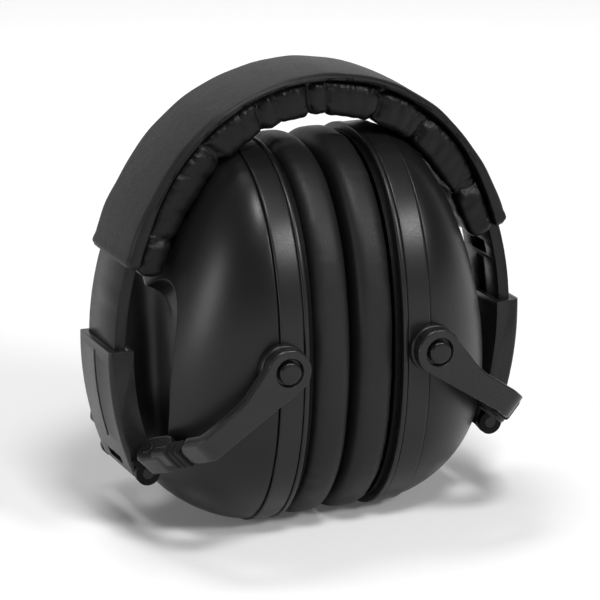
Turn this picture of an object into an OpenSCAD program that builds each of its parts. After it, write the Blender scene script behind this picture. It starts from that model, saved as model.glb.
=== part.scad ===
// Folding earmuff hearing protector, folded as it is stored: both cups turned up inside the
// headband, cushion to cushion, standing on their lower edges.
// X runs from cup to cup, Y from front (-) to back (+), Z up. The origin is on the floor,
// under the middle of the band.

/* [Cups] */
// Height of a cup
cup_h = 108.6; // [98:0.2:116]
// Front-to-back width of a cup
cup_w = 75.6; // [70:0.2:80]
// How far the shell bulges out from the seam
shell_d = 31; // [27:0.5:32]
// How far the deepest point of the shell lies below the middle of the cup
shell_drop = 17.8; // [12:0.2:20]
// Thickness of the shell's wall
shell_wall = 2.2; // [1.8:0.1:3]
// Depth of the recess in the shell, in which the slider lies
recess_d = 5.5; // [3:0.5:8]
// Width of the ring between the seam and the cushion's plate
ring_w = 8.2; // [6:0.2:10]
// Thickness of the ring's wall
ring_wall = 3; // [2.4:0.1:4]
// Thickness of the plate that the cushion is welded to
plate_t = 1.7; // [1.2:0.1:2.5]
// Thickness of a cushion
cushion_t = 11.8; // [10:0.2:13]
// Width of a cushion's roll
cushion_roll = 16; // [13:0.5:18]
// Thickness of the sound-damping foam in the shell
foam_t = 5; // [3:0.5:8]

/* [Headband] */
// Radius of the band's two arms, at the middle of the strip
limb_r = 86; // [82:0.5:92]
// How far the strip's middle lies outside the cups' farthest points
limb_clear = 4.9; // [4.4:0.1:7]
// How far the arms' centres lie below the middle of the cups
limb_drop = 1; // [-1:0.2:4]
// How far the crown's centre lies above an arm's centre
crown_up = 19.6; // [18:0.2:24]
// Thickness of the spring strip
strip_t = 3.2; // [2.4:0.1:3.6]
// Width of the spring strip
strip_w = 20; // [16:0.5:22]
// Angle at which the strip ends, below the arm's centre
strip_end_a = 18.6; // [16:0.2:19]
// Thickness of the cover over the strip
cover_t = 1.9; // [1.2:0.1:3]
// Width of the cover
cover_w = 28.6; // [26:0.2:32]
// Angle at which the cover ends, above the arm's centre
cover_end_a = 17.3; // [15:0.1:22]
// Thickness of the pad at the crown
pad_t = 9.6; // [8:0.2:10.5]
// Thickness of the pad at its ends
pad_end_t = 6.6; // [5:0.2:8]

/* [Slider] */
// Thickness of the slider's outer wall
slider_wall = 2; // [1.6:0.1:2.6]
// Thickness of the slider's side walls
slider_side = 2; // [1.6:0.1:2.6]
// Angle of the slider's mouth, above the arm's centre
mouth_a = 1.7; // [0:0.1:4]
// Angle of the fold axis, below the arm's centre
fold_a = 22; // [21:0.1:23]
// Travel of the slider along the arm, in degrees
slide_travel = 10; // [6:0.5:10]
// Radius of the fold pin
fold_pin_r = 1.6; // [1.2:0.1:2]

/* [Yoke] */
// Thickness of a yoke arm
arm_t = 3.4; // [2.6:0.1:4]
// Width of a yoke arm
arm_w = 7.3; // [6:0.1:8]
// How far the fold axis lies below the middle line of the yoke arms
fold_drop = 5.84; // [5:0.02:6.4]
// Radius of the eye at the cup end of an arm
eye_r = 6.4; // [5.6:0.1:7]
// Radius of the hub at the slider end of an arm
hub_r = 4.2; // [4:0.1:5]
// Angle at which an arm turns in towards its hub
bend_a = 60; // [54:1:66]
// Radius of the pivot pins' heads
pin_head_r = 3.3; // [2.8:0.1:3.6]
// Radius of the pivot pins' shanks
pin_r = 2; // [1.5:0.1:2.4]
// Radius of the rivets through the hubs
rivet_r = 1.4; // [1:0.1:1.8]

/* [Fits] */
// Running clearance round a pin
run_gap = 0.05; // [0.02:0.01:0.09]
// Clearance round the strip in the slider
slide_gap = 0.15; // [0.1:0.05:0.3]
// Gap between parts that pass each other
side_gap = 0.2; // [0.15:0.05:0.5]
// Half of the gap between the two cushions
mid_gap = 0.4; // [0.2:0.1:1]

/* [Hidden] */
$fn = 48;
eps = 0.01;

// Cup: every outline is the oval |y/a|^n + |z/b|^n = 1, with the bottom taken off as a foot
oval_n = 2.25;
foot_cut = 0.6;
cup_a = cup_w / 2;
cup_b = (cup_h + foot_cut) / 2;
cup_cz = cup_b - foot_cut;
lip_x = mid_gap + cushion_t + plate_t;
seam_x = lip_x + ring_w;
seam_step = 1;
ring_step = 0.4;
cushion_step = 1.4;
lip_band = 1.5;
flange_in = 8;
plate_inset = 2;
plate_rim = 16;
shell_a = cup_a - seam_step;
shell_b = cup_b - seam_step;
shell_ny = 1.72;
shell_nz = 1.68;
around = 56;
shell_rows = 10;
foam_gap = 0.2;
foam_start = 0.12;

// Recess: its rim runs at this share of the shell's depth, and dips at the two upper corners
rim_share = 0.82;
rim_dip = 0.115;
dip_at = 38;
dip_width = 30;
recess_drop = 9;
recess_cz = cup_cz - recess_drop;
inner_end = 0.82;

// Band: a crown arc between two arms of larger radius, tangent to each other
limb_cx = limb_r - seam_x - shell_d - limb_clear;
limb_cz = cup_cz - limb_drop;
crown_r = limb_r - norm([limb_cx, crown_up]);
join_a = atan2(crown_up, limb_cx);
crown_cz = limb_cz + crown_up;
join_lap = 2;
crown_grow = 0.1;
cover_edge = 3;
pad_edge = 4;
pad_over = 0.4;
pad_bow = 0.3;
pad_end_a = cover_end_a - 1.2;
pad_stations = 40;
slot_w = 9;
slot_a = [10, 12.8];
slot_d = 2.2;
groove_w = 4.4;
groove_d = 0.9;
groove_end_a = 9;
stop_a = strip_end_a - 0.9;
stop_r = 1;
stop_into = 1.2;

// Slider: a channel round the strip, with its lower end rounded about the fold pin
wall_thin = 0.6;
slider_in_wall = slider_wall - wall_thin;
slider_w = strip_w + 2 * slide_gap + 2 * slider_side;
slider_r0 = limb_r - strip_t / 2 - slide_gap - slider_in_wall;
slider_r1 = limb_r + strip_t / 2 + slide_gap + slider_wall;
slider_t = slider_r1 - slider_r0;
slider_edge = 1.2;
end_step = 0.3;
fold_r = (slider_r0 + slider_r1) / 2;
window_w = 10;
window_a = [19.4, 21];
rib_w = 0.8;
rib_h = 0.25;
leaf_w = 3.6;
leaf_t = 0.5;
leaf_a1 = stop_a - slide_travel - 0.9;
leaf_a0 = leaf_a1 - 6;

// Yoke frame: s runs from the cup pivot down along the arm, m is square to it, upwards
pivot = [seam_x, cup_cz];
fold_x = fold_r * cos(fold_a) - limb_cx;
fold_z = limb_cz - fold_r * sin(fold_a);
fold_far = norm([fold_x - pivot.x, fold_z - pivot.y]);
arm_slope = atan2(pivot.y - fold_z, fold_x - pivot.x) - asin(fold_drop / fold_far);
fold_s = sqrt(pow(fold_far, 2) - pow(fold_drop, 2));
fold_m = -fold_drop;
boss_out = 1.8;
boss_y = cup_a + boss_out;
arm_y0 = boss_y + side_gap;
arm_y = arm_y0 + arm_t / 2;
eye_over = 0.1;
boss_r = eye_r - eye_over;
head_t = 1.75;
head_sink = 1.4;
sink_gap = 0.5;
cheek_t = 2;
cheek_y0 = slider_w / 2 + side_gap;
cheek_y1 = cheek_y0 + cheek_t;
cheek_r = slider_t / 2;
cheek_w = 4.6;
cheek_rise = 5.34;
cheek_top = cheek_rise - fold_drop;
hub_y = cheek_y1 + hub_r;
hub_back = 4.6;
hub_s = fold_s - hub_back;
hub_rise = 2.74;
hub_m0 = hub_rise - fold_drop;
hub_t = 5.1;
hub_m1 = hub_m0 + hub_t;
hub_len = 8.4;
flange_t = 1.2;
rivet_head_r = 2.2;
rivet_head_t = 0.6;
bend_r = 4.4;
bend_lap = 0.5;
bend_grow = 0.1;
hub_step = 0.1;
hub_half = hub_r - 2 * hub_step;
link_in = 0.15;
link_off = hub_half - link_in - arm_t / 2;
bend_y = arm_y - bend_r * (1 - cos(bend_a));
link_s1 = hub_s + link_off * sin(bend_a);
link_y1 = hub_y + link_off * cos(bend_a);
link_len = (bend_y - link_y1) / sin(bend_a);
bend_s1 = link_s1 - link_len * cos(bend_a);
bend_s0 = bend_s1 - bend_r * sin(bend_a);
taper_s = 14.6;
taper_m = 3.1;
arm_rise = 0.7;
arm_end = 5.6;
collar_at = 6.6;
collar_gap = 1.12;
collar_len = link_len - hub_len - collar_at - collar_gap;
collar_t = 0.35;
collar_fit = 0.03;
link_w = 5.4;

function power(v, n) = sign(v) * pow(abs(v), 2 / n);
function oval(a, b) = [for (i = [0 : around - 1]) let (t = 360 * i / around)
    [a * power(cos(t), oval_n), max(b * power(sin(t), oval_n), -cup_cz)]];

// A ring or shell worked out as rows of points that close round the cup
function shell_point(w, t, off) = [
    seam_x + (shell_d - off) * w,
    (shell_a - off) * pow(1 - pow(w, shell_ny), 1 / shell_ny) * power(cos(t), oval_n),
    cup_cz - shell_drop * w * w
        + (shell_b - off) * pow(1 - pow(w, shell_nz), 1 / shell_nz) * power(sin(t), oval_n)
];
function turn(t) = let (u = abs(t - 90)) min(u, 360 - u);
function rim_w(t) = rim_share - rim_dip * exp(-pow((turn(t) - dip_at) / dip_width, 2));
function floor_x(g, t) = shell_point(rim_w(t), t, 0).x - recess_d * (1 - pow(g, 5));
function floor_point(g, t, off) = let (p = shell_point(rim_w(t), t, 0)) [
    (g > 0 ? floor_x(g, t) * g + floor_x(0, 90) * (1 - g) : floor_x(0, 90)) - off,
    p.y * g,
    recess_cz + (p.z - recess_cz) * g
];
function shell_row(share, off) = [for (i = [0 : around - 1]) let (t = 360 * i / around)
    shell_point(rim_w(t) * share, t, off)];
function floor_row(g, off) = [for (i = [0 : around - 1]) floor_point(g, 360 * i / around, off)];
function outer_rows(n) = concat(
    [for (i = [0 : n]) shell_row(sin(90 * i / n), 0)],
    [for (g = [0.93, 0.82, 0.6, 0.32]) floor_row(g, 0)]
);
function inner_rows(n, off, start) = concat(
    [for (i = [0 : n]) shell_row(start + (inner_end - start) * i / n, off)],
    [for (g = [0.66, 0.36]) floor_row(g, off)]
);
function flip(rows) = [for (i = [len(rows) - 1 : -1 : 0]) rows[i]];

// Closed skin over rows of points, with a point at each end
module skin(rows, first, last) {
    n = len(rows[0]);
    m = len(rows);
    points = concat([first], [for (r = rows) for (p = r) p], [last]);
    end = m * n + 1;
    faces = concat(
        [for (j = [0 : n - 1]) [0, 1 + (j + 1) % n, 1 + j]],
        [for (i = [0 : m - 2]) for (j = [0 : n - 1])
            [1 + i * n + j, 1 + i * n + (j + 1) % n, 1 + (i + 1) * n + j]],
        [for (i = [0 : m - 2]) for (j = [0 : n - 1])
            [1 + i * n + (j + 1) % n, 1 + (i + 1) * n + (j + 1) % n, 1 + (i + 1) * n + j]],
        [for (j = [0 : n - 1]) [end, 1 + (m - 1) * n + j, 1 + (m - 1) * n + (j + 1) % n]]
    );
    polyhedron(points = points, faces = faces, convexity = 8);
}

// Closed tube over rows of points that also close on themselves
module hoop(rows) {
    n = len(rows[0]);
    m = len(rows);
    faces = concat(
        [for (i = [0 : m - 1]) for (j = [0 : n - 1])
            [i * n + j, i * n + (j + 1) % n, ((i + 1) % m) * n + j]],
        [for (i = [0 : m - 1]) for (j = [0 : n - 1])
            [i * n + (j + 1) % n, ((i + 1) % m) * n + (j + 1) % n, ((i + 1) % m) * n + j]]
    );
    polyhedron(points = [for (r = rows) for (p = r) p], faces = faces, convexity = 8);
}

// Flat outline in Y and Z, pushed from x0 to x1 along X
module along_x(x0, x1) {
    translate([x0, 0, 0]) rotate([90, 0, 90]) linear_extrude(x1 - x0) children();
}

module oval_tube(x0, x1, a, b, wall) {
    along_x(x0, x1) translate([0, cup_cz]) difference() {
        polygon(oval(a, b));
        polygon(oval(a - wall, b - wall));
    }
}

// Cylinder along Y from y0 to y1, at x and z
module rod_y(x, z, y0, y1, r) {
    translate([x, y0, z]) rotate([-90, 0, 0]) cylinder(r = r, h = y1 - y0);
}

// Section swept along the right arm between two angles above the arm's centre
module limb_sweep(a0, a1) {
    translate([-limb_cx, 0, limb_cz]) rotate([90, -a0, 0])
        rotate_extrude(angle = a1 - a0) translate([limb_r, 0]) children();
}

module pair() {
    children();
    mirror([1, 0, 0]) children();
}

// Two sections, the first swept over the crown and the second down both arms to an angle; the
// arms run on a little way inside the crown, which is heavier all round
module band_sweep(a0) {
    translate([0, 0, crown_cz]) rotate([90, -join_a, 0])
        rotate_extrude(angle = 180 - 2 * join_a) translate([crown_r, 0]) children(0);
    pair() limb_sweep(a0, join_a + join_lap) children(1);
}

module front_back() {
    children();
    mirror([0, 1, 0]) children();
}

module left() {
    mirror([1, 0, 0]) children();
}

module back() {
    mirror([0, 1, 0]) children();
}

// Headband

module strip_core() {
    band_sweep(-strip_end_a) {
        square([strip_t + 2 * crown_grow, strip_w + 2 * crown_grow], center = true);
        square([strip_t, strip_w], center = true);
    }
}

module band_strip() {
    color([0.11, 0.11, 0.12]) difference() {
        strip_core();
        pair() {
            limb_sweep(slot_a[0], slot_a[1])
                translate([-strip_t / 2 - 1, -slot_w / 2]) square([1 + slot_d, slot_w]);
            limb_sweep(-strip_end_a - 1, groove_end_a)
                translate([-strip_t / 2 - 1, -groove_w / 2]) square([1 + groove_d, groove_w]);
            stop_pin(0);
        }
    }
}

module stop_pin(gap) {
    translate([-limb_cx, 0, limb_cz]) rotate([0, stop_a, 0])
        translate([limb_r - strip_t / 2 + gap, 0, 0]) rotate([0, 90, 0])
            cylinder(r = stop_r, h = groove_d + stop_into - gap);
}

module stop_rivets() {
    color([0.6, 0.6, 0.62]) pair() stop_pin(0.1);
}

module cover_section(grow) {
    h = cover_w / 2;
    r = strip_t / 2 + cover_t;
    e = cover_edge + grow;
    translate([-grow, -h - grow]) square([r - cover_edge + grow, cover_w + 2 * grow]);
    translate([-grow, cover_edge - h]) square([r + 2 * grow, cover_w - 2 * cover_edge]);
    for (s = [-1, 1]) intersection() {
        translate([r - cover_edge, s * (h - cover_edge)]) circle(r = e);
        translate([-grow, s * h - e]) square([2 * e, 2 * e]);
    }
}

module band_cover() {
    color([0.09, 0.09, 0.1]) difference() {
        band_sweep(cover_end_a) {
            cover_section(crown_grow);
            cover_section(0);
        }
        strip_core();
    }
}

// The band's middle line: station from -1 at the left end to 1 at the right end
function limb_len(a0) = limb_r * (join_a - a0) * PI / 180;
function crown_half() = crown_r * (90 - join_a) * PI / 180;
function band_frame(u, a0) = let (
    total = crown_half() + limb_len(a0),
    d = abs(u) * total,
    s = u < 0 ? -1 : 1,
    on_crown = d < crown_half(),
    a = on_crown ? 90 - d / crown_r * 180 / PI : join_a - (d - crown_half()) / limb_r * 180 / PI,
    r = on_crown ? crown_r : limb_r,
    cx = on_crown ? 0 : -limb_cx,
    cz = on_crown ? crown_cz : limb_cz
) [s * (cx + r * cos(a)), cz + r * sin(a), s * cos(a), sin(a)];
function pad_depth(u) = pad_end_t + (pad_t - pad_end_t) * pow(cos(90 * u), 2);
function pad_section(depth) = let (
    h = cover_w / 2, k = strip_w / 2 + crown_grow, g = -crown_grow, q = g - strip_t / 2
) [
    [g, k], [g, h], [-depth / 2, h + pad_over], [-depth + pad_edge / 2, h - pad_edge / 3],
    [-depth, h - pad_edge], [-depth - pad_bow, 0], [-depth, pad_edge - h],
    [-depth + pad_edge / 2, pad_edge / 3 - h], [-depth / 2, -h - pad_over], [g, -h],
    [g, -k], [q, -k], [q, k]
];

module band_pad() {
    rows = [for (i = [0 : pad_stations]) let (
        u = 2 * i / pad_stations - 1,
        f = band_frame(u, pad_end_a)
    ) [for (p = pad_section(pad_depth(u))) [f[0] + f[2] * p.x, p.y, f[1] + f[3] * p.x]]];
    n = len(rows[0]);
    m = len(rows);
    points = [for (r = rows) for (p = r) p];
    cap = [[0, 1, 12], [1, 2, 12], [2, 3, 12], [3, 4, 12], [4, 5, 12], [5, 11, 12], [5, 6, 11],
        [6, 7, 11], [7, 8, 11], [8, 9, 11], [9, 10, 11]];
    end = (m - 1) * n;
    faces = concat(
        cap,
        [for (i = [0 : m - 2]) for (j = [0 : n - 1])
            [i * n + j, (i + 1) * n + j, i * n + (j + 1) % n]],
        [for (i = [0 : m - 2]) for (j = [0 : n - 1])
            [i * n + (j + 1) % n, (i + 1) * n + j, (i + 1) * n + (j + 1) % n]],
        [for (t = cap) [end + t[2], end + t[1], end + t[0]]]
    );
    color([0.07, 0.07, 0.08]) polyhedron(points = points, faces = faces, convexity = 6);
}

// Slider

module slider_section() {
    x0 = slider_r0 - limb_r;
    x1 = slider_r1 - limb_r;
    h = slider_w / 2;
    translate([x0, -h]) square([slider_t - slider_edge, slider_w]);
    translate([x0, slider_edge - h]) square([slider_t, slider_w - 2 * slider_edge]);
    for (s = [-1, 1])
        translate([x1 - slider_edge, s * (h - slider_edge)]) circle(r = slider_edge);
}

module slider() {
    h = slider_w / 2;
    color([0.13, 0.13, 0.14]) difference() {
        union() {
            limb_sweep(-fold_a, mouth_a) slider_section();
            rod_y(fold_x, fold_z, end_step - h, h - end_step, slider_t / 2 - end_step);
            limb_sweep(-fold_a + 6, mouth_a - 1.5)
                translate([slider_r1 - limb_r - 0.5, -rib_w / 2]) square([0.5 + rib_h, rib_w]);
        }
        limb_sweep(-fold_a - 6, mouth_a + 1)
            square([strip_t + 2 * slide_gap, strip_w + 2 * slide_gap], center = true);
        limb_sweep(-window_a[1], -window_a[0])
            translate([strip_t / 2, -window_w / 2]) square([2 * slider_wall, window_w]);
        rod_y(fold_x, fold_z, -h - 1, h + 1, fold_pin_r + run_gap);
    }
}

// Leaf on the slider's inner wall that rides in the strip's groove and meets its stop rivet
module detent_spring() {
    r0 = slider_r0 + slider_in_wall;
    color([0.62, 0.62, 0.64])
        limb_sweep(-leaf_a1, -leaf_a0)
            translate([r0 - limb_r, -leaf_w / 2]) square([leaf_t, leaf_w]);
}

// Yoke

module yoke_frame() {
    translate([pivot.x, 0, pivot.y]) rotate([0, arm_slope, 0]) children();
}

module fold_pin() {
    color([0.6, 0.6, 0.62])
        rod_y(fold_x, fold_z, -cheek_y1, cheek_y1, fold_pin_r);
}

// Cheek beside the slider, with a foot under the arm's hub; drawn for the front
module knuckle() {
    m0 = hub_m0 - flange_t;
    color([0.12, 0.12, 0.13]) yoke_frame() difference() {
        union() {
            rod_y(fold_s, fold_m, -cheek_y1, -cheek_y0, cheek_r);
            translate([fold_s - cheek_w, -cheek_y1, m0])
                cube([cheek_w + 1, cheek_t, cheek_top - m0]);
            translate([hub_s, -hub_y, m0]) cylinder(r = hub_r, h = flange_t);
            translate([hub_s, -hub_y, m0]) cube([hub_r, hub_y - cheek_y0, flange_t]);
        }
        rod_y(fold_s, fold_m, -cheek_y1 - 1, -cheek_y0 + 1, fold_pin_r);
        translate([hub_s, -hub_y, m0 - 1]) cylinder(r = rivet_r, h = flange_t + 2);
    }
}

// Flat arm from the eye at the cup, round a bend and in to the hub; drawn for the front
module arm() {
    w = arm_w / 2;
    color([0.16, 0.16, 0.17]) yoke_frame() difference() {
        union() {
            rod_y(0, 0, -arm_y0 - arm_t, -arm_y0, eye_r);
            translate([0, -arm_y0, 0]) rotate([90, 0, 0]) linear_extrude(arm_t)
                polygon([[0, -eye_r], [bend_s0, arm_rise - w],
                    [bend_s0 + bend_lap, arm_rise - w], [bend_s0 + bend_lap, arm_rise + w],
                    [bend_s0, arm_rise + w], [taper_s, taper_m],
                    [eye_r * sin(30), eye_r * cos(30)], [0, eye_r]]);
            translate([bend_s0, bend_r - arm_y, arm_rise - w]) rotate([0, 0, -90])
                rotate_extrude(angle = bend_a)
                    translate([bend_r - arm_t / 2 - bend_grow, 0])
                        square([arm_t + 2 * bend_grow, arm_w]);
            translate([bend_s1, -bend_y, 0]) rotate([0, 0, bend_a]) {
                translate([-bend_lap, -arm_t / 2, arm_rise - w])
                    cube([arm_end + bend_lap, arm_t, arm_w]);
                translate([0, -arm_t / 2, -link_w / 2])
                    cube([link_len - hub_len / 2, arm_t, link_w]);
            }
            translate([hub_s, -hub_y, hub_m0]) {
                cylinder(r = hub_r, h = hub_m1 - hub_m0);
                rotate([0, 0, bend_a]) translate([-hub_len, -hub_half, hub_step])
                    cube([hub_len, 2 * hub_half, hub_m1 - hub_m0 - 2 * hub_step]);
            }
        }
        rod_y(0, 0, -arm_y0 - arm_t - 1, -arm_y0 + 1, pin_r + run_gap);
        rod_y(0, 0, -arm_y0 - arm_t - 1, -arm_y0 - arm_t + head_sink, pin_head_r + sink_gap);
        translate([hub_s, -hub_y, -w - 1]) cylinder(r = rivet_r, h = arm_w + 2);
    }
}

// Ribbed collar round the arm between its bend and its hub; drawn for the front
module collar() {
    w = link_w / 2;
    color([0.1, 0.1, 0.11]) yoke_frame()
        translate([bend_s1, -bend_y, 0]) rotate([0, 0, bend_a]) translate([collar_at, 0, 0])
            difference() {
                translate([0, -arm_t / 2 - collar_t, -w - collar_t])
                    cube([collar_len, arm_t + 2 * collar_t, link_w + 2 * collar_t]);
                translate([-1, -arm_t / 2 - collar_fit, -w - collar_fit])
                    cube([collar_len + 2, arm_t + 2 * collar_fit, link_w + 2 * collar_fit]);
            }
}

module arm_rivets() {
    color([0.2, 0.2, 0.21]) front_back() yoke_frame() translate([hub_s, -hub_y, 0]) {
        translate([0, 0, hub_m0 - flange_t]) cylinder(r = rivet_r, h = hub_m1 - hub_m0 + flange_t);
        translate([0, 0, hub_m1]) cylinder(r = rivet_head_r, h = rivet_head_t);
    }
}

// Cup

module pivot_pins() {
    y1 = arm_y0 + arm_t - head_sink + run_gap;
    color([0.1, 0.1, 0.11]) front_back() {
        rod_y(pivot.x, pivot.y, -y1 - head_t, -y1, pin_head_r);
        rod_y(pivot.x, pivot.y, -y1, -shell_a - 0.1, pin_r);
    }
}

module shell() {
    rows = concat(flip(inner_rows(shell_rows - 2, shell_wall, 0)), outer_rows(shell_rows));
    color([0.15, 0.15, 0.16])
        skin(rows, floor_point(0, 90, shell_wall), floor_point(0, 90, 0));
}

module foam() {
    rows = concat(
        flip(inner_rows(5, shell_wall + foam_gap + foam_t, foam_start)),
        inner_rows(5, shell_wall + foam_gap, foam_start)
    );
    color([0.2, 0.2, 0.21])
        skin(rows, floor_point(0, 90, shell_wall + foam_gap + foam_t),
            floor_point(0, 90, shell_wall + foam_gap));
}

module ring() {
    a = cup_a - ring_step;
    b = cup_b - ring_step;
    color([0.14, 0.14, 0.15]) difference() {
        union() {
            oval_tube(lip_x, seam_x, a, b, ring_wall);
            oval_tube(lip_x, lip_x + lip_band, cup_a, cup_b, flange_in);
            front_back() rod_y(pivot.x, pivot.y, -boss_y, -shell_a - 0.1, boss_r);
        }
        front_back() rod_y(pivot.x, pivot.y, -boss_y - 1, -shell_a + 1, pin_r);
    }
}

module plate() {
    color([0.05, 0.05, 0.06])
        oval_tube(mid_gap + cushion_t, lip_x, cup_a - plate_inset, cup_b - plate_inset, plate_rim);
}

function cushion_point(t, v) = let (
    q = cushion_roll / 2 * (1 - power(cos(v), 3)),
    x = mid_gap + cushion_t / 2 * (1 + power(sin(v), 3)),
    a = cup_a - cushion_step - q,
    b = cup_b - cushion_step - q
) [x, a * power(cos(t), oval_n), cup_cz + b * power(sin(t), oval_n)];

module cushion() {
    turns = 48;
    steps = 14;
    rows = [for (i = [0 : turns - 1])
        [for (j = [0 : steps - 1]) cushion_point(360 * i / turns, 360 * j / steps)]];
    color([0.08, 0.08, 0.09]) hoop(rows);
}

module left_slider() left() slider();
module left_detent_spring() left() detent_spring();
module left_fold_pin() left() fold_pin();
module left_front_knuckle() left() knuckle();
module left_back_knuckle() left() back() knuckle();
module left_front_arm() left() arm();
module left_back_arm() left() back() arm();
module left_front_collar() left() collar();
module left_back_collar() left() back() collar();
module left_arm_rivets() left() arm_rivets();
module left_pivot_pins() left() pivot_pins();
module left_shell() left() shell();
module left_ring() left() ring();
module left_foam() left() foam();
module left_plate() left() plate();
module left_cushion() left() cushion();
module right_slider() slider();
module right_detent_spring() detent_spring();
module right_fold_pin() fold_pin();
module right_front_knuckle() knuckle();
module right_back_knuckle() back() knuckle();
module right_front_arm() arm();
module right_back_arm() back() arm();
module right_front_collar() collar();
module right_back_collar() back() collar();
module right_arm_rivets() arm_rivets();
module right_pivot_pins() pivot_pins();
module right_shell() shell();
module right_ring() ring();
module right_foam() foam();
module right_plate() plate();
module right_cushion() cushion();

band_strip();
band_cover();
band_pad();
stop_rivets();
left_slider();
left_detent_spring();
left_fold_pin();
left_front_knuckle();
left_back_knuckle();
left_front_arm();
left_back_arm();
left_front_collar();
left_back_collar();
left_arm_rivets();
left_pivot_pins();
left_shell();
left_ring();
left_foam();
left_plate();
left_cushion();
right_slider();
right_detent_spring();
right_fold_pin();
right_front_knuckle();
right_back_knuckle();
right_front_arm();
right_back_arm();
right_front_collar();
right_back_collar();
right_arm_rivets();
right_pivot_pins();
right_shell();
right_ring();
right_foam();
right_plate();
right_cushion();
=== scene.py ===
import math

import bmesh
import bpy
import numpy as np
from mathutils import Matrix, Vector
from mathutils.bvhtree import BVHTree


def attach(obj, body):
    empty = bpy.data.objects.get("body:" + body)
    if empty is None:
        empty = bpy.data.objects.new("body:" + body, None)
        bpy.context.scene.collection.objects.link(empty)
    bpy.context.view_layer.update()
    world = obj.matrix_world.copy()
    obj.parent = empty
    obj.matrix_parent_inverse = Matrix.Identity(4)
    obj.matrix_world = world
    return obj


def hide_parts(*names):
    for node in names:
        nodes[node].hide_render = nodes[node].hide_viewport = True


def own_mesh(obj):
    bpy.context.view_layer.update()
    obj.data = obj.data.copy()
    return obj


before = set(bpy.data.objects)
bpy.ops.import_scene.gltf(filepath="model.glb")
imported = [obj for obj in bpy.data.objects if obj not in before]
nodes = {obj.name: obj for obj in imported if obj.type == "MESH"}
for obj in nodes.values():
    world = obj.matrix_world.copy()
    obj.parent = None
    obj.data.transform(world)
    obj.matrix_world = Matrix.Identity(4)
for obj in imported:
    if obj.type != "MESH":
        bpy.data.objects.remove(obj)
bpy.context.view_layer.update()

mm = 0.001  # the shapes are worked out in millimetres and written in metres
sides = (("left", -1), ("right", 1))


# small helpers

def power(v, n):  # the sign of v times |v| to the power 2 / n, which squares a circle up
    return np.sign(v) * np.abs(v) ** (2 / n)


def blendStep(v, start, end):  # 0 before start, 1 after end, and 3s^2 - 2s^3 between
    s = np.clip((v - start) / (end - start), 0, 1)
    return s * s * (3 - 2 * s)


def waves(length, seed, longest, shortest, count):
    # sum of count sines of random length and phase along a line, scaled to about -1 .. 1
    rng = np.random.default_rng(seed)
    total = np.zeros_like(length)
    for wave in np.geomspace(longest, shortest, count):
        total += np.sin(2 * math.pi * length / (wave * rng.uniform(0.85, 1.15)) + rng.uniform(0, 6.28))
    return total / math.sqrt(count)


def skin(name, points, around=True, along=False, caps=()):
    # grid of points in mm (rows by columns) as quads; around joins the last column to the first,
    # along the last row to the first, and each cap (row, point) is a fan from that row to a point
    rows, columns = points.shape[:2]
    index = np.arange(rows * columns).reshape(rows, columns)
    here = index if along else index[:-1]
    there = np.roll(index, -1, 0) if along else index[1:]
    if around:
        quads = np.stack([here, np.roll(here, -1, 1), np.roll(there, -1, 1), there], -1)
    else:
        quads = np.stack([here[:, :-1], here[:, 1:], there[:, 1:], there[:, :-1]], -1)
    corners = points.reshape(-1, 3)
    faces = quads.reshape(-1, 4).tolist()
    for row, tip in caps:
        ring = index[row]
        fan = np.stack([ring, np.roll(ring, -1), np.full(columns, len(corners))], -1)
        faces += (fan[:, ::-1] if row == 0 else fan).tolist()
        corners = np.vstack([corners, tip])
    mesh = bpy.data.meshes.new(name)
    mesh.from_pydata((corners * mm).tolist(), [], faces)
    return finished(name, mesh)


def meshVolume(mesh):  # a sixth of the sum of a . (b x c) over the triangles: negative if inside out
    mesh.calc_loop_triangles()
    corners = np.zeros(len(mesh.vertices) * 3)
    mesh.vertices.foreach_get("co", corners)
    triangles = np.zeros(len(mesh.loop_triangles) * 3, int)
    mesh.loop_triangles.foreach_get("vertices", triangles)
    a, b, c = corners.reshape(-1, 3)[triangles.reshape(-1, 3)].transpose(1, 0, 2)
    return float(np.einsum("ij,ij->i", a, np.cross(b, c)).sum() / 6)


def placed(name, data):
    thing = bpy.data.objects.new(name, data)
    bpy.context.scene.collection.objects.link(thing)
    return thing


def finished(name, mesh):
    if meshVolume(mesh) < 0:
        mesh.flip_normals()
    mesh.shade_smooth()
    mesh.update()
    return placed(name, mesh)


def written(shape, name):  # a bmesh as a smooth piece of its own
    mesh = bpy.data.meshes.new(name)
    shape.to_mesh(mesh)
    shape.free()
    mesh.shade_smooth()
    return placed(name, mesh)


def joined(name, pieces):  # several closed skins as one piece
    together = bmesh.new()
    for piece in pieces:
        together.from_mesh(piece.data)
    for piece in pieces:
        bpy.data.objects.remove(piece)
    return written(together, name)


def dress(piece, body, slotName, finish, *standsFor):
    piece.data.materials.clear()
    piece.data.materials.append(finish)
    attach(piece, body)
    if standsFor:
        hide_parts(*standsFor)
    return piece


def sideOf(points, sign):  # the piece is worked out for +X; the other side is its mirror image
    return points * np.array([sign, 1, 1])


def frontBack(points):
    return (points, points * np.array([1, -1, 1]))


cloth = {"frames": 20, "tension": 9.0, "bending": 0.1, "damping": 8.0, "cap": 1.4}


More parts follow.
